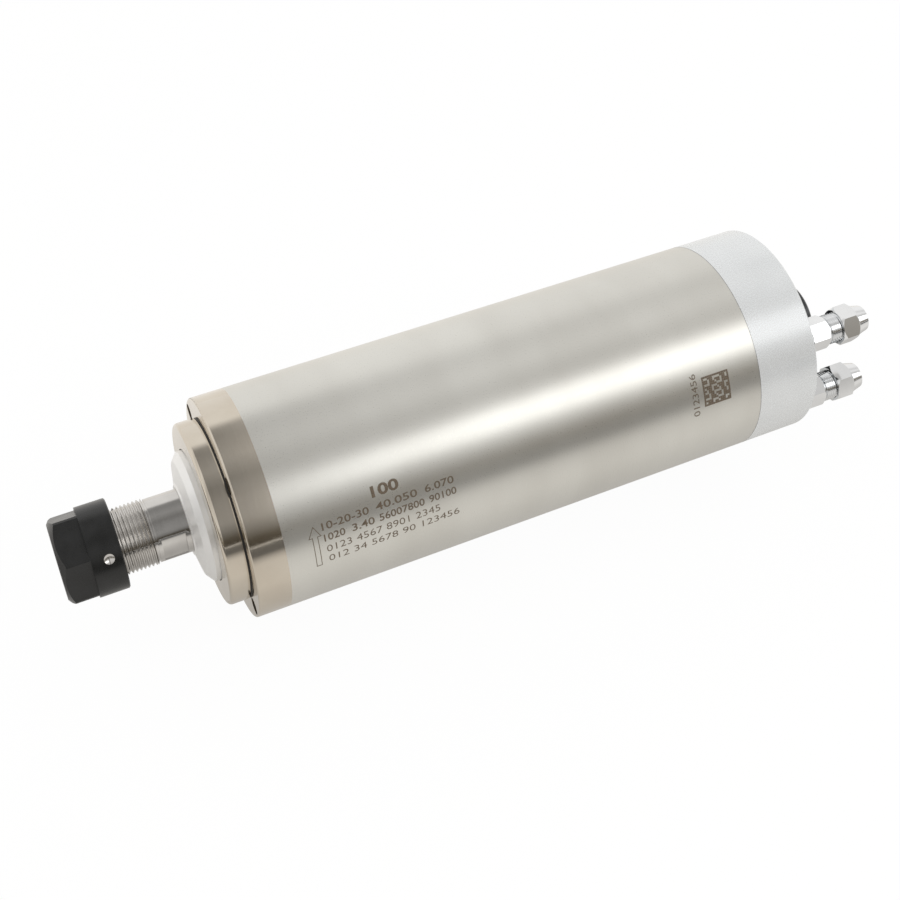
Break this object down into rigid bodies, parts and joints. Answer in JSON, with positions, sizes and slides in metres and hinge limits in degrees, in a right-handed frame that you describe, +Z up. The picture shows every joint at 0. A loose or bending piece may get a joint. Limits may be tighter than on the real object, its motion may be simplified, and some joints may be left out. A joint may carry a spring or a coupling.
{
  "type": "motor spindle",
  "caption": "Round water-cooled motor spindle with a collet nose, a bearing flange, a clamping casing and a rear cap that carries hose fittings and a power socket.",
  "frame": {"origin": "on the spindle axis, at the front end of the clamping casing, where it meets the front flange", "axes": "+X along the spindle axis, from the collet nose towards the hose fittings; +Z up as it lies in the picture; +Y completes the right-handed frame"},
  "size_m": [0.3246, 0.085, 0.085],
  "materials": {
    "satin_casing": "fine satin grain",
    "polished_nickel": "polished, slightly warm",
    "satin_aluminium": "satin turned",
    "frosted_aluminium": "frosted",
    "jacket_aluminium": "plain machined",
    "bearing_steel": "ground and polished",
    "shaft_steel": "ground",
    "collet_steel": "ground",
    "black_oxide": "black oxide",
    "screw_black": "black oxide",
    "lamination_steel": "stacked plates",
    "winding_copper": "varnished copper",
    "cage_aluminium": "cast",
    "bearing_cage_resin": "fabric resin",
    "chrome_fitting": "bright chrome",
    "ferrule_brass": "plain",
    "seal_rubber": "matt",
    "spring_steel": "plain",
    "socket_shell_black": "black satin",
    "socket_insert_black": "moulded",
    "contact_gold": "plated",
    "lead_red": "insulation",
    "lead_black": "insulation",
    "lead_blue": "insulation",
    "lead_green": "insulation"
  },
  "bodies": {
    "spindle_body": {"outer_casing": "satin_casing", "front_flange": "polished_nickel", "flange_screws": "screw_black", "front_bearing_cap": "polished_nickel", "cooling_jacket": "jacket_aluminium", "front_seals": "seal_rubber", "rear_seals": "seal_rubber", "front_outer_rings": "bearing_steel", "front_outer_spacer": "shaft_steel", "rear_outer_rings": "bearing_steel", "rear_outer_spacer": "shaft_steel", "stator_core": "lamination_steel", "stator_windings": "winding_copper", "rear_bearing_carrier": "jacket_aluminium", "preload_spring": "spring_steel", "rear_cap": "satin_aluminium", "rear_cap_screws": "screw_black", "fitting_washers": "seal_rubber", "socket_shell": "socket_shell_black", "socket_gasket": "seal_rubber", "socket_nut": "satin_aluminium", "socket_insert": "socket_insert_black", "socket_pins": "contact_gold", "outlet_fitting": "chrome_fitting", "inlet_fitting": "chrome_fitting", "motor_lead_u": "lead_red", "motor_lead_v": "lead_black", "motor_lead_w": "lead_blue", "motor_lead_earth": "lead_green"},
    "shaft": {"spindle_shaft": "shaft_steel", "dust_ring": "frosted_aluminium", "front_inner_rings": "bearing_steel", "front_inner_spacer": "shaft_steel", "rear_inner_rings": "bearing_steel", "rear_inner_spacer": "shaft_steel", "rear_lock_nut": "screw_black", "rotor_core": "lamination_steel", "rotor_cage": "cage_aluminium"},
    "front_ball_set": {"front_balls": "bearing_steel", "front_cages": "bearing_cage_resin"},
    "rear_ball_set": {"rear_balls": "bearing_steel", "rear_cages": "bearing_cage_resin"},
    "collet": {"collet": "collet_steel"},
    "collet_nut": {"collet_nut": "black_oxide"},
    "outlet_ferrule": {"outlet_ferrule": "ferrule_brass"},
    "outlet_hose_nut": {"outlet_hose_nut": "chrome_fitting"},
    "inlet_ferrule": {"inlet_ferrule": "ferrule_brass"},
    "inlet_hose_nut": {"inlet_hose_nut": "chrome_fitting"}
  },
  "joints": [
    {"name": "spindle_spin", "type": "hinge", "parent": "spindle_body", "child": "shaft", "pos_m": [0, 0, 0], "axis": [1, 0, 0], "continuous": true},
    {"name": "front_balls_orbit", "type": "hinge", "parent": "spindle_body", "child": "front_ball_set", "pos_m": [0, 0, 0], "axis": [1, 0, 0], "continuous": true},
    {"name": "rear_balls_orbit", "type": "hinge", "parent": "spindle_body", "child": "rear_ball_set", "pos_m": [0.1804, 0, 0], "axis": [1, 0, 0], "continuous": true},
    {"name": "collet_draw", "type": "slide", "parent": "shaft", "child": "collet", "axis": [-1, 0, 0], "range_m": [0, 0.012]},
    {"name": "collet_nut_turn", "type": "hinge", "parent": "collet", "child": "collet_nut", "pos_m": [-0.06, 0, 0], "axis": [-1, 0, 0], "range_deg": [0, 2880]},
    {"name": "outlet_ferrule_draw", "type": "slide", "parent": "spindle_body", "child": "outlet_ferrule", "axis": [1, 0, 0], "range_m": [0, 0.005]},
    {"name": "outlet_nut_turn", "type": "hinge", "parent": "outlet_ferrule", "child": "outlet_hose_nut", "pos_m": [0.244, -0.02899, 0.01776], "axis": [1, 0, 0], "range_deg": [0, 1800]},
    {"name": "inlet_ferrule_draw", "type": "slide", "parent": "spindle_body", "child": "inlet_ferrule", "axis": [1, 0, 0], "range_m": [0, 0.005]},
    {"name": "inlet_nut_turn", "type": "hinge", "parent": "inlet_ferrule", "child": "inlet_hose_nut", "pos_m": [0.244, -0.03209, -0.01124], "axis": [1, 0, 0], "range_deg": [0, 1800]}
  ],
  "couplings": [
    {"joint": "front_balls_orbit", "follows": "spindle_spin", "ratio": 0.4141},
    {"joint": "rear_balls_orbit", "follows": "spindle_spin", "ratio": 0.4022},
    {"joint": "collet_nut_turn", "follows": "collet_draw", "rad_per_m": 4188.8},
    {"joint": "outlet_nut_turn", "follows": "outlet_ferrule_draw", "rad_per_m": 6283.2},
    {"joint": "inlet_nut_turn", "follows": "inlet_ferrule_draw", "rad_per_m": 6283.2}
  ]
}
